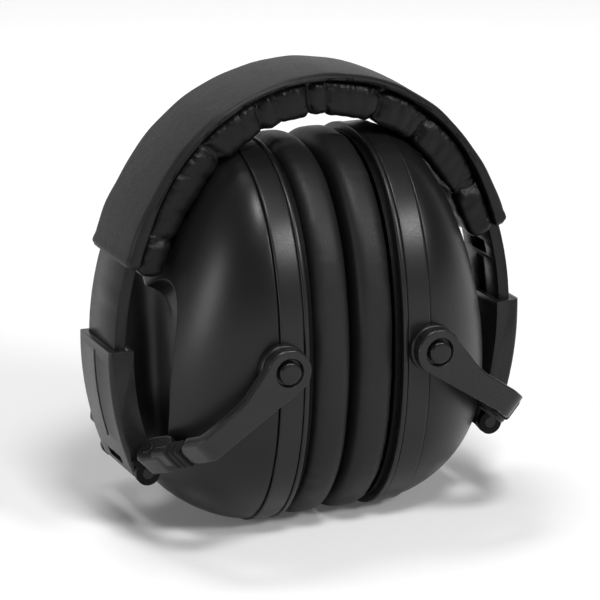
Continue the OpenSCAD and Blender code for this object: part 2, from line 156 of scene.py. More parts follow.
def inflated(name, points, held, pressure, spare, along, caps=()):
    # Blender's cloth on a coarse grid of a soft roll: held (0 .. 1) pins it to its seams, spare is
    # the share of extra cloth, and the gas inside pushes it out; gives each point's move in mm,
    # at most the cap
    piece = skin(name, points, along=along, caps=caps)
    pins = piece.vertex_groups.new(name="held")
    for weight in np.unique(held):
        chosen = np.flatnonzero(held.ravel() == weight)
        if weight > 0:
            pins.add([int(i) for i in chosen], float(weight), "REPLACE")
    pins.add(list(range(held.size, len(piece.data.vertices))), 1.0, "REPLACE")
    fabric = piece.modifiers.new("fabric", "CLOTH")
    rules = fabric.settings
    rules.quality = 6
    rules.mass = 0.15
    rules.tension_stiffness = rules.compression_stiffness = rules.shear_stiffness = cloth["tension"]
    rules.tension_damping = rules.compression_damping = rules.shear_damping = cloth["damping"]
    rules.bending_stiffness = cloth["bending"]
    rules.use_pressure = True
    rules.uniform_pressure_force = pressure
    rules.shrink_min = -spare
    rules.vertex_group_mass = "held"
    rules.pin_stiffness = 2.0
    rules.effector_weights.gravity = 0
    fabric.point_cache.frame_start = 1
    fabric.point_cache.frame_end = cloth["frames"]
    for step in range(1, cloth["frames"] + 1):
        bpy.context.scene.frame_set(step)
    shape = piece.evaluated_get(bpy.context.evaluated_depsgraph_get()).to_mesh()
    corners = np.zeros(len(shape.vertices) * 3)
    shape.vertices.foreach_get("co", corners)
    piece.evaluated_get(bpy.context.evaluated_depsgraph_get()).to_mesh_clear()
    bpy.data.objects.remove(piece)
    bpy.context.scene.frame_set(1)
    move = corners.reshape(-1, 3)[:held.size].reshape(points.shape) / mm - points
    size = np.linalg.norm(move, axis=-1, keepdims=True)
    print(name, "cloth moved by", round(float(size.mean()), 2), "to", round(float(size.max()), 2), "mm")
    return move * np.minimum(1, cloth["cap"] / np.maximum(size, 1e-6))


def resampled(field, rows, columns, along):
    # the coarse grid's moves at every place of a finer grid, each eased into the next
    coarseRows, coarseColumns = field.shape[:2]
    wrapped = np.concatenate([field, field[:, :1]], 1)
    if along:
        wrapped = np.concatenate([wrapped, wrapped[:1]], 0)
    down = np.linspace(0, coarseRows if along else coarseRows - 1, rows, endpoint=not along)
    across = np.linspace(0, coarseColumns, columns, endpoint=False)
    r, c = np.minimum(down.astype(int), wrapped.shape[0] - 2), across.astype(int)
    a = blendStep((down - r)[:, None, None], 0, 1)
    b = blendStep((across - c)[None, :, None], 0, 1)
    top = wrapped[r][:, c] * (1 - b) + wrapped[r][:, c + 1] * b
    low = wrapped[r + 1][:, c] * (1 - b) + wrapped[r + 1][:, c + 1] * b
    return top * (1 - a) + low * a


# materials

def newFinish(name):  # a material, its tree, its shader and the object's own coordinates
    finish = bpy.data.materials.new(name)
    finish.use_nodes = True
    tree = finish.node_tree
    place = tree.nodes.new("ShaderNodeTexCoord")
    return finish, tree, tree.nodes["Principled BSDF"], place.outputs["Object"]


def tinted(colour, factor):
    return tuple(min(1, c * factor) for c in colour)


def combined(tree, operation, one, other):  # a product, or the larger, of two node outputs
    node = tree.nodes.new("ShaderNodeMath")
    node.operation = operation
    tree.links.new(one, node.inputs[0])
    tree.links.new(other, node.inputs[1])
    return node.outputs[0]


def noiseNode(tree, place, size, detail=2.0, roughness=0.5, stretch=None):
    noise = tree.nodes.new("ShaderNodeTexNoise")
    noise.inputs["Scale"].default_value = 1 / (size * mm)
    noise.inputs["Detail"].default_value = detail
    noise.inputs["Roughness"].default_value = roughness
    if stretch:
        mapping = tree.nodes.new("ShaderNodeMapping")
        mapping.inputs["Scale"].default_value = stretch
        tree.links.new(place, mapping.inputs["Vector"])
        place = mapping.outputs["Vector"]
    tree.links.new(place, noise.inputs["Vector"])
    return noise.outputs["Fac"]


def cellNode(tree, place, size, feature="DISTANCE_TO_EDGE"):
    cells = tree.nodes.new("ShaderNodeTexVoronoi")
    cells.feature = feature
    cells.inputs["Scale"].default_value = 1 / (size * mm)
    tree.links.new(place, cells.inputs["Vector"])
    return cells.outputs["Distance"]


def ranged(tree, value, low, high, start=0.0, end=1.0):
    node = tree.nodes.new("ShaderNodeMapRange")
    for slotName, number in (("From Min", start), ("From Max", end), ("To Min", low), ("To Max", high)):
        node.inputs[slotName].default_value = number
    tree.links.new(value, node.inputs["Value"])
    return node.outputs["Result"]


def mixedColour(tree, share, dark, light):  # dark is a colour or another node's output
    node = tree.nodes.new("ShaderNodeMix")
    node.data_type = "RGBA"
    if isinstance(dark, tuple):
        node.inputs["A"].default_value = (*dark, 1)
    else:
        tree.links.new(dark, node.inputs["A"])
    node.inputs["B"].default_value = (*light, 1)
    tree.links.new(share, node.inputs["Factor"])
    return node.outputs["Result"]


def bumped(tree, height, depth, strength=1.0, under=None):
    node = tree.nodes.new("ShaderNodeBump")
    node.inputs["Distance"].default_value = depth * mm
    node.inputs["Strength"].default_value = strength
    tree.links.new(height, node.inputs["Height"])
    if under:
        tree.links.new(under, node.inputs["Normal"])
    return node.outputs["Normal"]


def edgeShare(tree, reach):  # 0 on flat faces to 1 where a rounded-off normal leans away from the face's own
    face = tree.nodes.new("ShaderNodeNewGeometry")
    rounded = tree.nodes.new("ShaderNodeBevel")
    rounded.samples = 4
    rounded.inputs["Radius"].default_value = reach * mm
    lean = tree.nodes.new("ShaderNodeVectorMath")
    lean.operation = "DOT_PRODUCT"
    tree.links.new(rounded.outputs["Normal"], lean.inputs[0])
    tree.links.new(face.outputs["True Normal"], lean.inputs[1])
    return ranged(tree, lean.outputs["Value"], 1, 0, 0.86, 0.985)


def mouldedPlastic(name, colour, roughness, specular, texture=0.35, depth=0.004, mottle=0.16, wear=0):
    # spark-eroded moulded plastic: even colour with a slow mottle, a fine matt texture that bumps
    # it and varies its gloss, and edges painted paler in patches: partly rubbed wear, partly a painted highlight
    finish, tree, shader, place = newFinish(name)
    slow = noiseNode(tree, place, 26, 3)
    fine = noiseNode(tree, place, texture, 2)
    base = mixedColour(tree, ranged(tree, slow, 0, 1, 0.3, 0.7), tinted(colour, 1 - mottle), tinted(colour, 1 + mottle))
    if wear:
        patches = ranged(tree, noiseNode(tree, place, 5, 3), 0, wear, 0.35, 0.65)
        # the paler colour on the edges is partly rubbed wear and partly a painted highlight along them
        base = mixedColour(tree, combined(tree, "MULTIPLY", edgeShare(tree, 0.3), patches), base, tinted(colour, 6))
    tree.links.new(base, shader.inputs["Base Color"])
    gloss = ranged(tree, fine, roughness - 0.05, roughness + 0.05, 0.35, 0.65)
    tree.links.new(gloss, shader.inputs["Roughness"])
    tree.links.new(bumped(tree, fine, depth), shader.inputs["Normal"])
    shader.inputs["Specular IOR Level"].default_value = specular
    return finish


def leather(name, colour, roughness, specular, grain=0.8, depth=0.05, crease=0.3):
    # coated synthetic leather: pebbled grain from cells, fine pores, soft creases, and gloss that
    # follows the grain, duller in the valleys
    finish, tree, shader, place = newFinish(name)
    warp = tree.nodes.new("ShaderNodeVectorMath")
    warp.operation = "MULTIPLY_ADD"
    jitter = tree.nodes.new("ShaderNodeTexNoise")
    jitter.inputs["Scale"].default_value = 1 / (grain * 2.5 * mm)
    tree.links.new(place, jitter.inputs["Vector"])
    tree.links.new(jitter.outputs["Color"], warp.inputs[0])
    warp.inputs[1].default_value = (grain * mm,) * 3
    tree.links.new(place, warp.inputs[2])
    cells = ranged(tree, cellNode(tree, warp.outputs["Vector"], grain), 0, 1, 0, 0.35)
    pores = noiseNode(tree, place, grain * 0.3, 2)
    creases = noiseNode(tree, place, 7, 5, 0.62)
    slow = noiseNode(tree, place, 30, 3)
    base = mixedColour(tree, ranged(tree, slow, 0, 1, 0.3, 0.7), tinted(colour, 0.78), tinted(colour, 1.25))
    tree.links.new(base, shader.inputs["Base Color"])
    gloss = ranged(tree, cells, roughness + 0.07, roughness - 0.04)
    tree.links.new(gloss, shader.inputs["Roughness"])
    normal = bumped(tree, creases, crease, 0.5)
    normal = bumped(tree, cells, depth, 0.8, normal)
    normal = bumped(tree, pores, depth * 0.35, 0.6, normal)
    tree.links.new(normal, shader.inputs["Normal"])
    shader.inputs["Specular IOR Level"].default_value = specular
    return finish


def openFoam(name, colour):
    finish, tree, shader, place = newFinish(name)
    pores = cellNode(tree, place, 1.1, "F1")
    # the pores are painted darker than the strands between them: painted shade inside the open cells
    share = ranged(tree, pores, 1, 0, 0.1, 0.7)
    tree.links.new(mixedColour(tree, share, colour, tinted(colour, 0.25)), shader.inputs["Base Color"])
    tree.links.new(bumped(tree, pores, 0.5), shader.inputs["Normal"])
    shader.inputs["Roughness"].default_value = 0.95
    shader.inputs["Specular IOR Level"].default_value = 0.1
    return finish


def bareSteel(name, colour, roughness):
    # turned steel: fine scratches across its length and a slow change of gloss
    finish, tree, shader, place = newFinish(name)
    scratch = noiseNode(tree, place, 0.5, 2, 0.5, (1, 12, 1))
    slow = noiseNode(tree, place, 6, 3)
    tree.links.new(mixedColour(tree, slow, tinted(colour, 0.8), colour), shader.inputs["Base Color"])
    tree.links.new(ranged(tree, slow, roughness - 0.07, roughness + 0.1, 0.3, 0.7), shader.inputs["Roughness"])
    tree.links.new(bumped(tree, scratch, 0.01), shader.inputs["Normal"])
    shader.inputs["Metallic"].default_value = 1
    return finish


finishes = {
    "strip": mouldedPlastic("stripPlastic", (0.0070, 0.0070, 0.0073), 0.36, 0.20, 0.3),
    "cover": leather("coverLeather", (0.0065, 0.0065, 0.0068), 0.44, 0.20, 0.75, 0.03, 0.3),
    "pad": leather("padLeather", (0.0030, 0.0030, 0.0032), 0.34, 0.18, 0.7, 0.03, 0.25),
    "cushion": leather("cushionLeather", (0.0075, 0.0075, 0.0078), 0.46, 0.24, 0.6, 0.02, 0.2),
    "steel": bareSteel("bareSteel", (0.16, 0.16, 0.17), 0.36),
    "slider": mouldedPlastic("sliderPlastic", (0.0085, 0.0085, 0.0088), 0.32, 0.26, 0.3, wear=0.7),
    "knuckle": mouldedPlastic("knucklePlastic", (0.0045, 0.0045, 0.0047), 0.36, 0.08, 0.3),
    "collar": mouldedPlastic("collarRubber", (0.0070, 0.0070, 0.0073), 0.46, 0.07, 0.25, 0.01),
    "arm": mouldedPlastic("armPaint", (0.0085, 0.0085, 0.0088), 0.30, 0.30, 0.28, wear=0.9),
    "pin": mouldedPlastic("pinPaint", (0.0050, 0.0050, 0.0053), 0.30, 0.28, 0.28, wear=0.9),
    "shell": mouldedPlastic("shellPlastic", (0.0060, 0.0060, 0.0063), 0.35, 0.27, 0.32),
    "ring": mouldedPlastic("ringPlastic", (0.0064, 0.0064, 0.0067), 0.35, 0.30, 0.32, wear=0.4),
    "foam": openFoam("dampingFoam", (0.03, 0.03, 0.032)),
    "plate": mouldedPlastic("platePlastic", (0.003, 0.003, 0.0032), 0.5, 0.06, 0.3),
}


# camera

camera = {
    "lens": 204.0, "sensor": 36.0,
    "target": (-0.5616, 0.0, 59.717), "distance": 948.41,
    "azimuth": -23.28, "elevation": 16.97, "roll": -0.33,
    "shiftX": 0.0, "shiftY": 0.0,
}
imageSize = (600, 600)

# places in the photograph's frame, in its own pixels, read from it; coverEndLeft alone was moved
# to where the render shows the cover's end
imagePoints = {
    "objectLeft": 79, "objectRight": 521, "objectTop": 54, "objectBottom": 520,
    "leftPin": (290, 372), "rightPin": (440.5, 350),
    "padFold1": (210, 152), "padFold2": (260, 110), "padFold3": (309, 95), "padFold4": (324, 88),
    "padFold5": (382, 100), "padFold6": (429, 120), "padFold7": (468, 190),
    "coverEndLeft": (138, 271), "leftHubPin": (146, 451),
}


def placeCamera():
    # the back direction points from the target to the camera; right and up are turned by the roll
    azimuth, elevation, roll = (math.radians(camera[k]) for k in ("azimuth", "elevation", "roll"))
    back = Vector((math.sin(azimuth) * math.cos(elevation), -math.cos(azimuth) * math.cos(elevation),
                   math.sin(elevation)))
    right = Vector((math.cos(azimuth), math.sin(azimuth), 0))
    up = back.cross(right)
    level = right * math.cos(roll) + up * math.sin(roll)
    upright = up * math.cos(roll) - right * math.sin(roll)
    lens = bpy.data.cameras.new("camera")
    lens.sensor_fit = "AUTO"
    lens.lens = camera["lens"]
    lens.sensor_width = camera["sensor"]
    lens.shift_x = camera["shiftX"]
    lens.shift_y = camera["shiftY"]
    lens.clip_start = 0.05
    lens.clip_end = 20
    viewer = placed("camera", lens)
    place = (Vector(camera["target"]) + back * camera["distance"]) * mm
    turn = Matrix((level, upright, back)).transposed().to_4x4()
    viewer.matrix_world = Matrix.Translation(place) @ turn
    bpy.context.scene.camera = viewer
    return viewer


viewer = placeCamera()
bpy.context.view_layer.update()


def viewRay(x, y):  # from the lens through a photo pixel: (x - W/2, H/2 - y, -L * lens / sensor)
    width, height = imageSize
    longSide = max(width, height)
    ray = Vector((x - width / 2 + camera["shiftX"] * longSide, height / 2 - y + camera["shiftY"] * longSide,
                  -longSide * camera["lens"] / camera["sensor"]))
    return viewer.matrix_world.translation, (viewer.matrix_world.to_3x3() @ ray).normalized()


def imageXY(points):  # where points in metres fall in the photo: the same ray turned round
    width, height = imageSize
    longSide = max(width, height)
    seen = np.array(viewer.matrix_world.inverted()) @ np.c_[points, np.ones(len(points))].T
    scale = longSide * camera["lens"] / camera["sensor"] / -seen[2]
    return np.c_[seen[0] * scale + width / 2 - camera["shiftX"] * longSide,
                 height / 2 - seen[1] * scale + camera["shiftY"] * longSide]


def treeOf(*pieces):
    depsgraph = bpy.context.evaluated_depsgraph_get()
    corners, faces = [], []
    for piece in pieces:
        shape = piece.evaluated_get(depsgraph).to_mesh()
        start = len(corners)
        corners += [tuple(v.co) for v in shape.vertices]
        faces += [tuple(start + i for i in face.vertices) for face in shape.polygons]
        piece.evaluated_get(depsgraph).to_mesh_clear()
    return BVHTree.FromPolygons(corners, faces)


def placeOn(tree, x, y):
    # where the ray through a photo pixel meets the pieces; a miss takes the place nearest the ray
    start, ray = viewRay(x, y)
    hit = tree.ray_cast(start, ray)[0]
    if hit is None:
        steps = np.linspace(0.8, 1.1, 400)
        tries = [tree.find_nearest(start + ray * float(s)) for s in steps]
        hit = min((t for t in tries if t[0] is not None), key=lambda t: t[3])[0]
    return hit


# cups

cup = {
    "halfWide": 37.8, "halfHigh": 54.6, "middle": 54.0, "squareness": 2.25,
    "lip": 13.9, "seam": 22.1, "depth": 31.0, "drop": 17.8,
    "shellHalfWide": 36.8, "shellHalfHigh": 53.6, "bulgeY": 1.72, "bulgeZ": 1.68,
    "rimShare": 0.82, "rimDip": 0.115, "dipAt": 38.0, "dipWidth": 30.0,
    "recess": 8.0, "recessMiddle": 45.0, "wall": 2.2, "columns": 288,
}
roundTurn = np.linspace(0, 2 * math.pi, cup["columns"], endpoint=False)


def oval(turn, halfWide, halfHigh):
    # |y / a|^n + |z / b|^n = 1, flattened where it stands on the floor
    y = halfWide * power(np.cos(turn), cup["squareness"])
    z = np.maximum(halfHigh * power(np.sin(turn), cup["squareness"]), -cup["middle"])
    return y, z


def shellPoint(share, turn, inwards):
    # share 0 at the seam to 1 at the tip: depth grows with it, and each half width falls as
    # (1 - share^k)^(1/k), while the middle sinks by drop * share^2
    y, z = oval(turn, 1, 1)
    y = (cup["shellHalfWide"] - inwards) * (1 - share ** cup["bulgeY"]) ** (1 / cup["bulgeY"]) * y
    high = cup["halfHigh"] - 1 - inwards
    z = high * (1 - share ** cup["bulgeZ"]) ** (1 / cup["bulgeZ"]) * power(np.sin(turn), cup["squareness"])
    x = cup["seam"] + (cup["depth"] - inwards) * share
    return np.stack(np.broadcast_arrays(x, y, np.maximum(z + cup["middle"] - cup["drop"] * share ** 2, 0)), -1)


def rimAt(turn):  # the scoop's rim as a share of the depth, dipping at the two upper corners
    fromTop = np.abs((np.degrees(turn) - 90 + 180) % 360 - 180)
    return cup["rimShare"] - cup["rimDip"] * np.exp(-(((fromTop - cup["dipAt"]) / cup["dipWidth"]) ** 2))


def scoopPoint(share, turn, inwards):
    # share 1 at the rim to 0 in the middle: from a flat floor the wall climbs to the rim with
    # share^7, above a slow dish of share^2
    rim = shellPoint(rimAt(turn), turn, 0)
    floor = shellPoint(rimAt(np.array([math.pi / 2])), np.array([math.pi / 2]), 0)[0, 0] - cup["recess"]
    x = floor + (rim[..., 0] - floor) * share ** 7 - 0.8 * share ** 2 * (1 - share ** 7) - inwards
    y = rim[..., 1] * share
    z = cup["recessMiddle"] + (rim[..., 2] - cup["recessMiddle"]) * share
    return np.stack(np.broadcast_arrays(x, y, z), -1)


def shellSkin():
    turn = roundTurn[None, :]
    # outside of the dome, with its edge at the ring eased by a chamfer
    share = np.r_[0.0, 0.004, 0.012, np.linspace(0.03, 0.972, 46)][:, None]
    dome = shellPoint(share * rimAt(turn), turn, 0)
    ease = np.clip(1 - share[..., None] / 0.012, 0, 1) * 0.5
    dome[..., 1:2] *= 1 - ease / cup["shellHalfWide"]
    dome[..., 2:3] = cup["middle"] + (dome[..., 2:3] - cup["middle"]) * (1 - ease / cup["shellHalfHigh"])
    # the lip: a quadratic curve from dome to scoop that passes near the sharp corner
    before = shellPoint(0.985 * rimAt(turn), turn, 0)
    corner = shellPoint(rimAt(turn), turn, 0)
    after = scoopPoint(np.array([[0.99]]), turn, 0)
    s = np.linspace(0, 1, 7)[:, None, None]
    lip = (1 - s) ** 2 * before + 2 * s * (1 - s) * corner + s ** 2 * after
    # the steep wall of the scoop and its dished floor
    down = 1 - np.linspace(0.13, 0.98, 36)[:, None] ** 2
    scoop = scoopPoint(down, turn, 0)
    # the same surfaces again from inside, a wall's thickness in
    inner = shellPoint(np.linspace(0.0, 0.82, 14)[:, None] * rimAt(turn), turn, cup["wall"])
    innerFloor = scoopPoint(np.array([[0.66], [0.36], [0.1]]), turn, cup["wall"])
    outside = np.concatenate([dome, lip, scoop])
    inside = np.concatenate([inner, innerFloor])
    allRows = np.concatenate([inside[::-1], outside])
    tip = scoopPoint(np.array([[0.0]]), turn, 0)[0, 0]
    return allRows, tip - [cup["wall"], 0, 0], tip


shellRows, innerTip, outerTip = shellSkin()


def ringProfile():
    # (x, how far inside the full oval): face, groove beside the lip, lip, and back round the inside
    lip, seam, wall = cup["lip"], cup["seam"], 3.4
    return np.array([
        (seam, wall), (seam, 1.0), (seam - 0.02, 0.75), (seam - 0.1, 0.55), (seam - 0.28, 0.42),
        (seam - 0.6, 0.4), (seam - 2.5, 0.38), (seam - 4.5, 0.38), (lip + 2.0, 0.4), (lip + 1.72, 0.42),
        (lip + 1.64, 0.5), (lip + 1.6, 0.8), (lip + 1.5, 0.86), (lip + 1.4, 0.8), (lip + 1.36, 0.4),
        (lip + 1.3, 0.2), (lip + 1.16, 0.12), (lip + 0.8, 0.1), (lip + 0.4, 0.12),
        (lip + 0.16, 0.2), (lip + 0.05, 0.36), (lip, 0.7), (lip, 3.4), (lip, 7.6),
        (lip + 1.4, 7.7), (lip + 1.5, 7.4), (lip + 1.6, 3.7), (seam - 1.5, 3.5),
    ])


def ringSkin():
    profile = ringProfile()
    x, inset = profile[:, 0][:, None], profile[:, 1][:, None]
    turn = roundTurn[None, :]
    y, z = oval(turn, 1, 1)
    y = (cup["halfWide"] - inset) * y
    z = np.maximum((cup["halfHigh"] - inset) * power(np.sin(turn), cup["squareness"]), -cup["middle"])
    return np.stack(np.broadcast_arrays(x, y, z + cup["middle"]), -1)


boss = {"radius": 6.75, "from": 34.5, "to": 39.6, "columns": 72}


def turned(profile, middle, columns):
    # (distance along Y, radius) carried round an axis along Y through middle
    turn = np.linspace(0, 2 * math.pi, columns, endpoint=False)[None, :]
    along, radius = profile[:, 0][:, None], profile[:, 1][:, None]
    x, z = middle[0] + radius * np.cos(turn), middle[1] + radius * np.sin(turn)
    return np.stack(np.broadcast_arrays(x, along, z), -1)


def bossProfile():
    r, start, end = boss["radius"], boss["from"], boss["to"]
    return np.array([(start, r - 0.4), (end - 2.6, r - 0.4), (end - 2.45, r - 0.38), (end - 2.35, r - 0.1),
                     (end - 2.2, r), (end - 0.6, r), (end - 0.3, r - 0.08), (end - 0.08, r - 0.3),
                     (end, r - 0.6), (end, r - 3)])


def capped(name, points):
    return skin(name, points, caps=((0, points[0].mean(0)), (-1, points[-1].mean(0))))


for side, sign in sides:
    shell = skin(side + "CupShell", sideOf(shellRows, sign),
                 caps=((0, sideOf(innerTip, sign)), (-1, sideOf(outerTip, sign))))
    dress(shell, side + "_cup", "shell_plastic", finishes["shell"], side + "_shell")
    ringParts = [skin(side + "RingBand", sideOf(ringSkin(), sign), along=True)]
    for i, points in enumerate(frontBack(turned(bossProfile(), (cup["seam"], cup["middle"]), boss["columns"]))):
        ringParts.append(capped(side + "Boss" + str(i), sideOf(points, sign)))
    ring = joined(side + "CupRing", ringParts)
    dress(ring, side + "_cup", "ring_plastic", finishes["ring"], side + "_ring")
print("cups: shells and rings")


# ear cushions

cushion = {
    "back": 12.2, "front": 0.5, "inset": 0.8, "roll": 15.6, "squareness": 3.3,
    "columns": 320, "around": 56, "pucker": 0.10, "gather": 0.07,
    "simColumns": 128, "simAround": 28, "pressure": 0.9, "spare": 0.0,
}


def cushionBase(turn, v):
    # a squared roll round the oval: for v round the roll, the inset from the cup's outline is
    # roll / 2 * (1 - cos v) and the depth goes with sin v, both squared up
    half = (cushion["back"] - cushion["front"]) / 2
    across = power(np.cos(v), cushion["squareness"])
    depth = power(np.sin(v), cushion["squareness"])
    groove = 0.55 * np.exp(-(((depth - 0.97) / 0.04) ** 2)) * blendStep(across, -0.1, 0.6)
    inset = cushion["roll"] / 2 * (1 - across) + cushion["inset"] + groove - 0.35 * np.cos(v) ** 2
    y = (cup["halfWide"] - inset) * power(np.cos(turn), cup["squareness"])
    z = (cup["halfHigh"] - inset) * power(np.sin(turn), cup["squareness"])
    x = cushion["front"] + half * (1 + depth) + 0 * turn
    return np.stack(np.broadcast_arrays(x, y, z + cup["middle"]), -1), across, depth


def cushionSkin(seed):
    # the roll, blown up by cloth, with puckers that start at the seam by the ring and die out
    # towards the front
    turn = np.linspace(0, 2 * math.pi, cushion["columns"], endpoint=False)[None, :]
    v = np.linspace(0, 2 * math.pi, cushion["around"], endpoint=False)[:, None]
    base, across, depth = cushionBase(turn, v)
    coarseTurn = np.linspace(0, 2 * math.pi, cushion["simColumns"], endpoint=False)[None, :]
    coarseV = np.linspace(0, 2 * math.pi, cushion["simAround"], endpoint=False)[:, None]
    coarse, _, coarseDepth = cushionBase(coarseTurn, coarseV)
    held = 1.0 * (coarseDepth + 0 * coarseTurn > 0.9)
    move = inflated("cushionCloth", coarse, held, cushion["pressure"], cushion["spare"], True)
    move = resampled(move, cushion["around"], cushion["columns"], True)
    # where the two cushions press together they stay flat
    room = np.maximum(move[..., 0], cushion["front"] - base[..., 0])
    base = base + np.stack([np.clip(room, -0.4, 0.4), move[..., 1], move[..., 2]], -1)
    length = turn * 45  # about the way round the cushion, in mm
    seamward = blendStep(depth, -0.2, 0.95) * blendStep(across, -0.1, 0.5) * (1 - blendStep(depth, 0.93, 1.0))
    ripple = waves(length, seed, 16, 5, 7) * cushion["pucker"]
    ripple = ripple + waves(length, seed + 1, 5, 2.6, 5) * cushion["gather"]
    slack = waves(length, seed + 2, 60, 22, 4) * 0.12 * blendStep(across, -0.3, 0.6)
    swell = (seamward * ripple + slack)[..., None]
    outline = np.stack([0 * turn, np.cos(turn), np.sin(turn)], -1)
    points = base + swell * outline
    points[..., 2] = np.maximum(points[..., 2], 0.9)
    return points


for side, sign in sides:
    soft = skin(side + "EarCushion", sideOf(cushionSkin(11 if sign < 0 else 29), sign), along=True)
    dress(soft, side + "_cup", "cushion_leather", finishes["cushion"], side + "_cushion")
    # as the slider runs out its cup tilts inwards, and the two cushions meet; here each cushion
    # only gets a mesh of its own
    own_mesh(soft)
print("cushions")


# damping foam

foam = {"gap": 2.4, "thickness": 5.0, "start": 0.12, "end": 0.8}


def foamSkin():
    turn = roundTurn[None, ::3]
    share = np.linspace(foam["start"], foam["end"], 12)[:, None] * rimAt(turn)
    floors = np.array([[0.62], [0.36], [0.12]])
    outer = np.concatenate([shellPoint(share, turn, foam["gap"]), scoopPoint(floors, turn, foam["gap"])])
    deep = foam["gap"] + foam["thickness"]
    inner = np.concatenate([shellPoint(share, turn, deep), scoopPoint(floors, turn, deep)])
    tip = scoopPoint(np.array([[0.0]]), turn, 0)[0, 0]
    return np.concatenate([inner[::-1], outer]), tip - [deep, 0, 0], tip - [foam["gap"], 0, 0]


foamRows, foamInner, foamOuter = foamSkin()
for side, sign in sides:
    liner = skin(side + "DampingFoam", sideOf(foamRows, sign),
                 caps=((0, sideOf(foamInner, sign)), (-1, sideOf(foamOuter, sign))))
    dress(liner, side + "_cup", "foam", finishes["foam"], side + "_foam")
print("foam")


# headband cover and pad

band = {
    "armRadius": 86.0, "armX": 28.0, "armZ": 53.0, "crownUp": 19.6,
    "coverEnd": 17.3, "padEnd": 16.1, "outer": 3.5, "halfWide": 14.3, "crownHalfWide": 13.2,
    "edge": 1.9, "crownDrop": 0.7, "padDepth": 9.6, "padEndDepth": 7.8, "seamRise": 1.2,
}
crownRadius = band["armRadius"] - math.hypot(band["armX"], band["crownUp"])
joinAngle = math.atan2(band["crownUp"], band["armX"])
crownHalf = crownRadius * (math.pi / 2 - joinAngle)


def bandLength(endDegrees):  # from the crown's top down to an angle on the arm
    return crownHalf + band["armRadius"] * (joinAngle - math.radians(endDegrees))


def bandFrame(station):
    # a crown arc and two arm arcs, tangent to each other: the middle line and the way outwards
    way = np.where(station < 0, -1, 1)
    distance = np.abs(station)
    onCrown = distance < crownHalf
    angle = np.where(onCrown, math.pi / 2 - distance / crownRadius,
                     joinAngle - (distance - crownHalf) / band["armRadius"])
    radius = np.where(onCrown, crownRadius, band["armRadius"])
    x = np.where(onCrown, 0, -band["armX"]) + radius * np.cos(angle)
    z = np.where(onCrown, band["armZ"] + band["crownUp"], band["armZ"]) + radius * np.sin(angle)
    zero = np.zeros_like(x)
    return np.stack([way * x, zero, z], -1), np.stack([way * np.cos(angle), zero, np.sin(angle)], -1)


def alongBand(station, outwards, sideways):  # rows of stations by columns round a section
    middle, out = bandFrame(station)
    points = middle[:, None, :] + out[:, None, :] * outwards[..., None]
    points[..., 1] += sideways
    return points


def bandPlace(station, outwards, sideways=0):  # one place by the band
    return alongBand(np.array([station]), np.array([[outwards]]), sideways)[0, 0]


def crownShare(station):  # 1 at the crown's top to 0 on the arms: cos^2
    return np.cos(np.clip(station / crownHalf / 1.5, -1, 1) * math.pi / 2)[:, None] ** 2


def halfAt(station):  # half the cover's width
    return band["halfWide"] - (band["halfWide"] - band["crownHalfWide"]) * crownShare(station)


def seamOut(station):  # how far outside the middle line the cover's seam runs: higher over the crown
    return band["seamRise"] * (1 - blendStep(np.abs(station), 48, 78)) - 0.15


def coverSkin():
    # a flat channel section with rounded outer edges, narrower and lower over the crown, whose
    # open edges turn in at the seam; both ends are rolled hems
    end = bandLength(band["coverEnd"])
    station = np.r_[-end, np.linspace(-end + 0.25, -end + 1.6, 6), np.linspace(-end + 2.2, end - 2.2, 190),
                    np.linspace(end - 1.6, end - 0.25, 6), end]
    toEnd = (end - np.abs(station))[:, None]
    half = halfAt(station)
    outer = band["outer"] - band["crownDrop"] * crownShare(station)
    hem = 0.55 * (1 - blendStep(toEnd, 0, 1.0)) - 0.16 * np.exp(-(((toEnd - 1.5) / 1.2) ** 2))
    seamDip = 0.14 * np.exp(-(((toEnd - 3.4) / 0.35) ** 2))
    edge = band["edge"]
    bend = np.linspace(0, math.pi / 2, 9)
    flat = np.linspace(1, -1, 25)[1:-1]
    # half section from the seam up the side and over the edge, then across, then mirrored
    low = np.array([(-0.55, -0.9), (-0.6, -0.35), (-0.35, -0.05), (0.0, 0.0), (0.35, 0.0)])
    sideOut = np.r_[low[:, 0], np.zeros(len(bend)), np.zeros(len(flat)), np.zeros(len(bend)), low[::-1, 0]]
    isEdge = np.r_[np.zeros(len(low)), np.ones(len(bend) + len(flat) + len(bend)), np.zeros(len(low))]
    edgeOut = np.r_[np.zeros(len(low)), np.sin(bend) - 1, np.zeros(len(flat)),
                    np.sin(bend[::-1]) - 1, np.zeros(len(low))]
    rise = seamOut(station)[:, None]
    outwards = sideOut[None, :] + (1 - isEdge)[None, :] * rise
    outwards = outwards + isEdge[None, :] * outer + edge * edgeOut[None, :]
    crowned = np.r_[np.zeros(len(low) + len(bend)), 1 - flat ** 2, np.zeros(len(low) + len(bend))]
    outwards = outwards + 0.35 * crowned[None, :] - 0.35 * isEdge[None, :]
    sideways = np.concatenate([
        half + low[:, 1][None, :], half - edge * (1 - np.cos(bend))[None, :], (half - edge) * flat[None, :],
        -(half - edge * (1 - np.cos(bend[::-1]))[None, :]), -(half + low[::-1, 1][None, :])], 1)
    soft = 0.11 * waves(station, 5, 44, 13, 5)[:, None] * isEdge[None, :]
    sideSoft = 0.13 * waves(station, 6, 30, 9, 5)[:, None] * (1 - 0.5 * isEdge)[None, :]
    outwards = outwards + soft - (hem + seamDip) * isEdge[None, :]
    sideways = sideways * (1 + (sideSoft - hem - seamDip) / half)
    return alongBand(station, outwards, sideways)


coverEnd = bandLength(band["coverEnd"])
cover = skin("bandCover", coverSkin(), caps=((0, bandPlace(-coverEnd, 0.9)), (-1, bandPlace(coverEnd, 0.9))))
dress(cover, "headband", "cover_leather", finishes["cover"], "band_cover")


